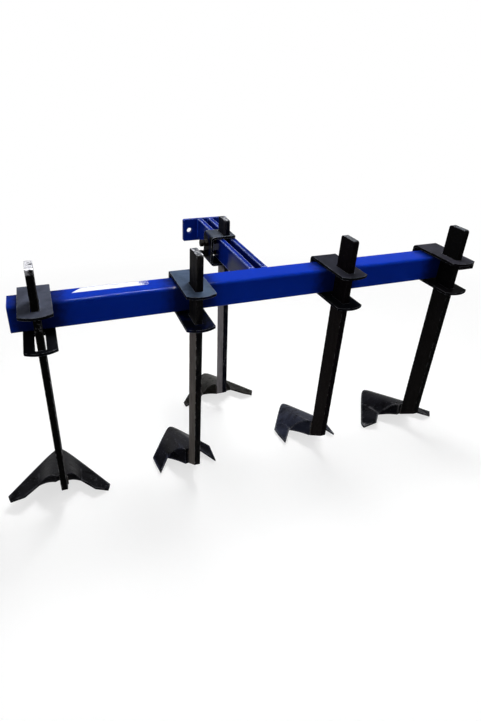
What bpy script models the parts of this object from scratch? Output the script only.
# Five-tine mounted cultivator: a square toolbar with a two-rail drawbar and hitch
# plate, and five duckfoot tines, each held by a bent bracket with two set bolts.
# It stands on its five sweeps, so the frame leans back by TILT.
# Lengths below are in millimetres in the implement's own axes: x along the
# toolbar, y forward to the hitch plate, z up, with the toolbar's axis at zero.
import math

import bmesh
import bpy
from mathutils import Matrix, Vector

MM = 0.001

# toolbar, square tube
BAR = 60.0
BAR_WALL = 4.0
BAR_CORNER = 7.0
BAR_X0 = -525.0
BAR_X1 = 560.0
SEAT = 0.3

# drawbar, two flat bars on edge with the middle shank between them
RAIL_T = 14.0
RAIL_GAP = 17.5
RAIL_H = 60.0
RAIL_END = 428.5
DRAW_X = 29.0

# hitch plate
PLATE_W = 137.0
PLATE_H = 66.0
PLATE_T = 10.0
HOLE_PITCH = 99.0
HOLE_R = 7.5

# tine shank, flat bar
SHANK_T = 14.5
SHANK_W = 50.5
SHANK_NEAR = -80.8
MID_Y = 262.5
MID_LEAN = math.radians(1.3)

# bracket, one bent plate
PLATE6 = 6.0
BRACKET_W = 64.0
BRACKET_H = 82.0
BRACKET_SAG = -2.0
BRACKET_BACK = 48.0
BRACKET_FRONT = 107.5
BRACKET_SIDE = 97.0
BRACKET_FRONT_MID = 20.0
BEND_OUT = 10.0
SLOT_W = 21.5
SLOT_BACK = -28.0
SLOT_FRONT = -96.3

# short bar under bracket 4's front corner
LIP_W = 42.0
LIP_T = 7.0
LIP_H = 12.0
LIP_X = 10.0
LIP_Y = -95.5

# set bolts and their nuts
BOLT_R = 5.7
NUT_BORE_R = 6.0
HEX_R = 10.9
NUT_H = 9.5
HEAD_H = 7.5
HEAD_GAP = 3.5
BOLT_PITCH = 30.0
BOLT_SIDES = 20

# sweeps: a shank's front edge is welded to the rear end of its sweep's ridge
WELD_HALF = 12.0
SHANK_END = 26.0
SHANK_BEVEL = 40.0
EDGE_T = 3.0
PLATE_T_REAR = 7.0
NOSE_ROUND = 0.12
ARCH_STEPS = 5
ROOT_START = 0.68

# resting attitude: the longer middle tine lifts the hitch end
TILT = math.radians(8.5)
BAR_HEIGHT = 513.5
ORIGIN_X = 15.55
ORIGIN_Y = 226.9

TINES = [
    # name, bracket x, shank x, shank length, sweep kind, then the sweep's turn and roll in
    # degrees, its shift along the toolbar and its clearance over the floor
    ("1", BAR_X0 + 53.0, -471.5, 588.0, "light", -2.5, 6.0, -6.0, 0.0),
    ("2", -151.5, -150.5, 598.0, "narrow", -0.5, 0.0, -4.0, 5.0),
    ("3", 209.0, 209.5, 594.0, "narrow", -4.5, 0.0, 3.0, 5.0),
    ("4", BAR_X1 - 44.0, 515.5, 590.0, "wide", -3.9, 0.0, -2.0, 0.0),
]
TINE_5 = ("5", 603.0, "wide", -3.0, 0.0, 4.5, 0.0)

SWEEPS = {
    # forward, outward and up from the weld on the floor: nose, ridge height, outer front
    # corner, outer rear corner, the arch's foot, a further corner of the rear edge, and
    # the underside of the root at the weld
    "wide": dict(nose=199.0, ridge=66.0, front=(121.0, 15.0), rear=(115.5, 5.0, -4.0),
                 foot=(50.0, 34.0, 14.0), notch=[(82.0, -6.5, 14.5)], root=27.0),
    "narrow": dict(nose=221.0, ridge=78.0, front=(82.5, 84.0), rear=(76.5, 10.5, 6.0),
                   foot=(46.5, 54.5, 17.5), notch=[], root=27.0),
}
SWEEPS["light"] = dict(SWEEPS["wide"], root=50.0)


def clear_scene():
    for ob in list(bpy.data.objects):
        bpy.data.objects.remove(ob, do_unlink=True)
    for col in list(bpy.data.collections):
        bpy.data.collections.remove(col)


def material(name, colour, metallic, rough):
    mat = bpy.data.materials.new(name)
    mat.use_nodes = True
    bsdf = mat.node_tree.nodes["Principled BSDF"]
    bsdf.inputs["Base Color"].default_value = (*colour, 1.0)
    bsdf.inputs["Metallic"].default_value = metallic
    bsdf.inputs["Roughness"].default_value = rough
    mat.diffuse_color = (*colour, 1.0)
    return mat


clear_scene()
PART = bpy.data.collections.new("tine_cultivator")
CUT = bpy.data.collections.new("cutters")
bpy.context.scene.collection.children.link(PART)
bpy.context.scene.collection.children.link(CUT)

FRAME = Matrix.Translation((-ORIGIN_X * MM, -ORIGIN_Y * MM, BAR_HEIGHT * MM)) @ Matrix.Rotation(TILT, 4, "X")
# local x, y, z of an outline go to y, z, x or to x, z, -y
ACROSS = Matrix(((0, 0, 1, 0), (1, 0, 0, 0), (0, 1, 0, 0), (0, 0, 0, 1)))
FACING = Matrix(((1, 0, 0, 0), (0, 0, -1, 0), (0, 1, 0, 0), (0, 0, 0, 1)))


def at(x=0.0, y=0.0, z=0.0):
    return Matrix.Translation((x * MM, y * MM, z * MM))


def add(name, mesh, mat, local, cutter=False):
    ob = bpy.data.objects.new(name, mesh)
    (CUT if cutter else PART).objects.link(ob)
    if mat:
        mesh.materials.clear()
        mesh.materials.append(mat)
    ob.matrix_world = FRAME @ local
    if cutter:
        ob.hide_render = True
        ob.display_type = "WIRE"
    return ob


def arc(cx, cy, r, a0, a1, n):
    return [(cx + r * math.cos(math.radians(a0 + (a1 - a0) * i / n)),
             cy + r * math.sin(math.radians(a0 + (a1 - a0) * i / n))) for i in range(n + 1)]


def rounded(x0, y0, x1, y1, r, n=6):
    return (arc(x1 - r, y1 - r, r, 0, 90, n) + arc(x0 + r, y1 - r, r, 90, 180, n)
            + arc(x0 + r, y0 + r, r, 180, 270, n) + arc(x1 - r, y0 + r, r, 270, 360, n))


def extruded(name, loops, depth):
    # flat outline with holes, filled and extruded symmetrically, as one closed mesh
    curve = bpy.data.curves.new(name, "CURVE")
    curve.dimensions = "2D"
    curve.fill_mode = "BOTH"
    curve.extrude = depth * MM / 2.0
    for loop in loops:
        sp = curve.splines.new("POLY")
        sp.points.add(len(loop) - 1)
        sp.use_cyclic_u = True
        for p, (x, y) in zip(sp.points, loop):
            p.co = (x * MM, y * MM, 0.0, 1.0)
    tmp = bpy.data.objects.new(name + "_outline", curve)
    PART.objects.link(tmp)
    bpy.context.view_layer.update()
    deps = bpy.context.evaluated_depsgraph_get()
    mesh = bpy.data.meshes.new_from_object(tmp.evaluated_get(deps))
    bpy.data.objects.remove(tmp, do_unlink=True)
    bpy.data.curves.remove(curve)
    bm = bmesh.new()
    bm.from_mesh(mesh)
    bmesh.ops.remove_doubles(bm, verts=bm.verts, dist=1e-6)
    bmesh.ops.recalc_face_normals(bm, faces=bm.faces)
    bm.to_mesh(mesh)
    bm.free()
    mesh.name = name
    return mesh


def boolean(ob, cutter, operation="DIFFERENCE"):
    mod = ob.modifiers.new(operation.lower(), "BOOLEAN")
    mod.operation = operation
    mod.solver = "EXACT"
    mod.object = cutter


def bevel(ob, width, segments=2, angle=30.0):
    mod = ob.modifiers.new("bevel", "BEVEL")
    mod.width = width * MM
    mod.segments = segments
    mod.limit_method = "ANGLE"
    mod.angle_limit = math.radians(angle)
    mod.harden_normals = False


def prism(r, h, sides, z0=0.0):
    # upright cylinder or hexagon standing on z0
    bm = bmesh.new()
    bmesh.ops.create_cone(bm, cap_ends=True, segments=sides, radius1=r * MM, radius2=r * MM,
                          depth=h * MM, matrix=Matrix.Translation((0, 0, (z0 + h / 2.0) * MM)))
    mesh = bpy.data.meshes.new("prism")
    bm.to_mesh(mesh)
    bm.free()
    return mesh


def block(x, y, z):
    bm = bmesh.new()
    bmesh.ops.create_cube(bm, size=1.0, matrix=Matrix.Diagonal((x * MM, y * MM, z * MM, 1.0)))
    mesh = bpy.data.meshes.new("block")
    bm.to_mesh(mesh)
    bm.free()
    return mesh


BLUE = material("blue_paint", (0.010, 0.045, 0.42), 0.0, 0.18)
BLACK = material("black_paint", (0.022, 0.024, 0.028), 0.0, 0.42)
SHANK = material("black_bar", (0.035, 0.034, 0.034), 0.0, 0.5)
SWEEP = material("black_sweep", (0.04, 0.042, 0.05), 0.0, 0.4)
BOLT = material("dull_bolt", (0.16, 0.13, 0.11), 0.6, 0.5)

# toolbar
half = BAR / 2.0
bar_mesh = extruded("toolbar", [
    rounded(-half, -half, half, half, BAR_CORNER, 8),
    rounded(-half + BAR_WALL, -half + BAR_WALL, half - BAR_WALL, half - BAR_WALL,
            BAR_CORNER - BAR_WALL, 6)], BAR_X1 - BAR_X0)
add("toolbar", bar_mesh, BLUE, at((BAR_X0 + BAR_X1) / 2.0) @ ACROSS)

# drawbar rails
rail_len = RAIL_END - half - 2 * SEAT
rail_y = half + SEAT + rail_len / 2.0
for side, name in ((-1, "left_rail"), (1, "right_rail")):
    x = DRAW_X + side * (RAIL_GAP + RAIL_T) / 2.0
    rail = add(name, block(RAIL_T, rail_len, RAIL_H), BLUE, at(x, rail_y, 0.0))
    bevel(rail, 1.5, 2)

# hitch plate
plate_z = half - PLATE_H / 2.0
hole_z = -3.5 - plate_z
holes = [arc(s * HOLE_PITCH / 2.0, hole_z, HOLE_R, 0, 360 - 7.5, 47) for s in (-1, 1)]
plate_mesh = extruded("hitch_plate", [rounded(-PLATE_W / 2, -PLATE_H / 2, PLATE_W / 2, PLATE_H / 2, 4.0, 4)]
                      + holes, PLATE_T)
plate = add("hitch_plate", plate_mesh, BLUE, at(DRAW_X, RAIL_END + PLATE_T / 2.0, plate_z) @ FACING)
bevel(plate, 0.8, 1, 50)


def bracket(name, place, front, side, slot, bolt_tip):
    # C section in y and z, open to -y, cut to its outline seen from above
    top = BRACKET_H / 2.0
    back = BRACKET_BACK
    inner = BEND_OUT - PLATE6
    outline = [(-front, -top), (-front, -top + PLATE6)]
    outline += arc(back - BEND_OUT, -top + BEND_OUT, inner, 270, 360, 5)
    outline += arc(back - BEND_OUT, top - BEND_OUT, inner, 0, 90, 5)
    outline += [(-front, top - PLATE6), (-front, top)]
    outline += arc(back - BEND_OUT, top - BEND_OUT, BEND_OUT, 90, 0, 6)
    outline += arc(back - BEND_OUT, -top + BEND_OUT, BEND_OUT, 0, -90, 6)
    low = place @ at(0, 0, BRACKET_SAG)
    ob = add(name, extruded(name, [outline], BRACKET_W), BLACK, low @ ACROSS)
    w = BRACKET_W / 2.0
    if front > side:
        rise = front - side
        r = (w * w + rise * rise) / (2.0 * rise)
        a = math.degrees(math.asin(w / r))
        plan = [(w + 5, back + 5), (-w - 5, back + 5), (-w - 5, -side + 1.0)]
        plan += arc(0.0, -front + r, r, 270 - a, 270 + a, 12)
        plan += [(w + 5, -side + 1.0)]
        trim = add(name + "_trim", extruded(name + "_trim", [plan], 3 * top), None, place, cutter=True)
        boolean(ob, trim, "INTERSECT")
    (sx, sy0, sy1) = slot
    hole = add(name + "_slot", extruded(name + "_slot", [rounded(-sx, sy0, sx, sy1, 2.0, 3)], 3 * top),
               None, place, cutter=True)
    boolean(ob, hole)
    for level, bz in (("upper", BOLT_PITCH / 2.0), ("lower", -BOLT_PITCH / 2.0)):
        turn = Matrix.Rotation(math.radians(-90), 4, "X")
        bore = add(f"{name}_{level}_bore", prism(NUT_BORE_R, 20.0, BOLT_SIDES, -10.0), None,
                   place @ at(0, back, bz) @ turn, cutter=True)
        boolean(ob, bore)
        nut = add(f"{name}_{level}_nut", prism(HEX_R, NUT_H, 6), BOLT, place @ at(0, back + SEAT, bz) @ turn)
        nut_bore = add(f"{name}_{level}_nut_bore", prism(NUT_BORE_R, 3 * NUT_H, BOLT_SIDES, -NUT_H), None,
                       place @ at(0, back + SEAT, bz) @ turn, cutter=True)
        boolean(nut, nut_bore)
        bevel(nut, 0.8, 1, 40)
        head_y = back + SEAT + NUT_H + HEAD_GAP
        bolt = add(f"{name}_{level}_bolt", prism(BOLT_R, head_y - bolt_tip + 2.0, BOLT_SIDES), BOLT,
                   place @ at(0, bolt_tip, bz) @ turn)
        head = add(f"{name}_{level}_head", prism(HEX_R, HEAD_H, 6), None,
                   place @ at(0, head_y, bz) @ turn, cutter=True)
        boolean(bolt, head, "UNION")
        bevel(bolt, 0.8, 1, 40)
    bevel(ob, 0.8, 1, 50)
    return ob


# brackets on the toolbar
for num, bx, *rest in TINES:
    bracket("bracket_" + num, at(bx), BRACKET_FRONT, BRACKET_SIDE,
            (SLOT_W / 2.0, SLOT_FRONT, SLOT_BACK), half + SEAT)

# bracket on the drawbar, turned a quarter
rail_half = RAIL_GAP / 2.0 + RAIL_T
quarter = at(DRAW_X, MID_Y) @ Matrix.Rotation(math.radians(90), 4, "Z")
bracket("bracket_5", quarter, BRACKET_FRONT_MID, BRACKET_FRONT_MID,
        (SHANK_W / 2.0 + SEAT, -(SHANK_T / 2.0 + 2.0), SHANK_T / 2.0 + 4.0), rail_half + SEAT)

# short bar under the front corner of bracket 4
lip = add("bracket_4_lip", block(LIP_W, LIP_T, LIP_H), BLACK,
          at(TINES[3][1] + LIP_X, LIP_Y, BRACKET_H / 2.0 + BRACKET_SAG - PLATE6 - SEAT - LIP_H / 2.0))
bevel(lip, 1.0, 1)


def level(x, y, z):
    # a point given over the floor, in axes upright along the shank
    return Vector((x, y * math.cos(TILT) + z * math.sin(TILT), z * math.cos(TILT) - y * math.sin(TILT)))


def sweep_mesh(kind):
    # each wing is ruled from its front cutting edge to its rear edge, which rises in an
    # arch to the ridge; under the arch the plate thickens into a root for the weld
    spec = SWEEPS[kind]
    nose_y = spec["nose"]
    front_x, front_y = spec["front"]
    ridge = spec["ridge"]
    foot = level(*spec["foot"])
    rear = [Vector((0.0, 0.0, ridge)), Vector((WELD_HALF, 0.0, ridge - 2.0))]
    for k in range(1, ARCH_STEPS):
        u = k / ARCH_STEPS
        p = rear[1].lerp(foot, u)
        p.z = foot.z + (rear[1].z - foot.z) * math.cos(math.pi / 2.0 * u)
        rear.append(p)
    rear.append(foot)
    rear += [level(*p) for p in spec["notch"]] + [level(*spec["rear"])]
    ns, nt = 13, 5
    steps = [0.0]
    for a, b in zip(rear, rear[1:]):
        steps.append(steps[-1] + (b - a).length)
    marks = [s / steps[-1] for s in steps]
    foot_at = marks[ARCH_STEPS + 1]

    def front_at(s):
        bend = (math.hypot(s, NOSE_ROUND) - NOSE_ROUND) / (math.hypot(1.0, NOSE_ROUND) - NOSE_ROUND)
        return level(front_x * s, nose_y + (front_y - nose_y) * bend, EDGE_T)

    def rear_at(s):
        for i in range(len(rear) - 1):
            if s <= marks[i + 1] + 1e-9:
                return rear[i].lerp(rear[i + 1], (s - marks[i]) / (marks[i + 1] - marks[i]))
        return rear[-1]

    bm = bmesh.new()
    top, low = {}, {}
    for i in range(-ns, ns + 1):
        s = abs(i) / ns
        # the nearest corner of the rear edge is kept sharp
        near = min(marks, key=lambda m: abs(m - s))
        s_rear = near if abs(near - s) < 0.5 / ns else s
        f = front_at(s)
        r = rear_at(s_rear)
        root_z = spec["root"] + (foot.z - PLATE_T_REAR - spec["root"]) * s_rear / foot_at
        root = max(0.0, r.z - root_z - PLATE_T_REAR) if s_rear < foot_at else 0.0
        for j in range(nt + 1):
            t = j / nt
            p = f.lerp(r, t)
            thick = EDGE_T + (PLATE_T_REAR - EDGE_T) * min(1.0, t / 0.4)
            thick += root * max(0.0, (t - ROOT_START) / (1.0 - ROOT_START))
            x = p.x if i >= 0 else -p.x
            top[i, j] = bm.verts.new((x * MM, p.y * MM, p.z * MM))
            low[i, j] = bm.verts.new((x * MM, p.y * MM, (p.z - thick) * MM))
    for i in range(-ns, ns):
        for j in range(nt):
            bm.faces.new((top[i, j], top[i + 1, j], top[i + 1, j + 1], top[i, j + 1]))
            bm.faces.new((low[i, j], low[i, j + 1], low[i + 1, j + 1], low[i + 1, j]))
    rim = [(i, 0) for i in range(-ns, ns)] + [(ns, j) for j in range(nt)]
    rim += [(i, nt) for i in range(ns, -ns, -1)] + [(-ns, j) for j in range(nt, 0, -1)]
    for a, b in zip(rim, rim[1:] + rim[:1]):
        bm.faces.new((top[a], low[a], low[b], top[b]))
    bmesh.ops.triangulate(bm, faces=bm.faces)
    bmesh.ops.recalc_face_normals(bm, faces=bm.faces)
    mesh = bpy.data.meshes.new("sweep_" + kind)
    bm.to_mesh(mesh)
    bm.free()
    return mesh


def tine(num, base, length, kind, turn_deg, roll_deg, shift, clear):
    # base is the shank's axis; the tine is moved along it until its sweep meets the floor
    mesh = sweep_mesh(kind)
    ridge = SWEEPS[kind]["ridge"]
    turn = math.radians(turn_deg)
    front = SHANK_W / 2.0 + SEAT + WELD_HALF * abs(math.sin(turn))
    roll = Matrix.Rotation(math.radians(roll_deg), 4, "Y")
    weld = at(shift, front, ridge) @ Matrix.Rotation(turn, 4, "Z") @ roll @ at(0, 0, -ridge)
    lowest = min((FRAME @ base @ weld @ v.co).z for v in mesh.vertices)
    along = (FRAME @ base).to_3x3() @ Vector((0, 0, 1))
    base = base @ Matrix.Translation((0, 0, (clear * MM - lowest) / along.z))
    add("sweep_" + num, mesh, SWEEP, base @ weld)
    w = SHANK_W / 2.0
    outline = [(w, 0.0)] + arc(w - 6, length - 6, 6, 0, 90, 4) + arc(-w + 6, length - 6, 6, 90, 180, 4)
    outline += [(-w, SHANK_BEVEL)]
    shank = add("shank_" + num, extruded("shank_" + num, [outline], SHANK_T), SHANK,
                base @ at(0, 0, SHANK_END) @ ACROSS)
    bevel(shank, 1.2, 1, 40)


for num, bx, sx, length, kind, turn_deg, roll_deg, shift, clear in TINES:
    tine(num, at(sx, SHANK_NEAR + SHANK_W / 2.0), length, kind, turn_deg, roll_deg, shift, clear)
num, length, kind, turn_deg, roll_deg, shift, clear = TINE_5
tine(num, at(DRAW_X, MID_Y) @ Matrix.Rotation(-MID_LEAN, 4, "Y"), length, kind, turn_deg, roll_deg, shift, clear)
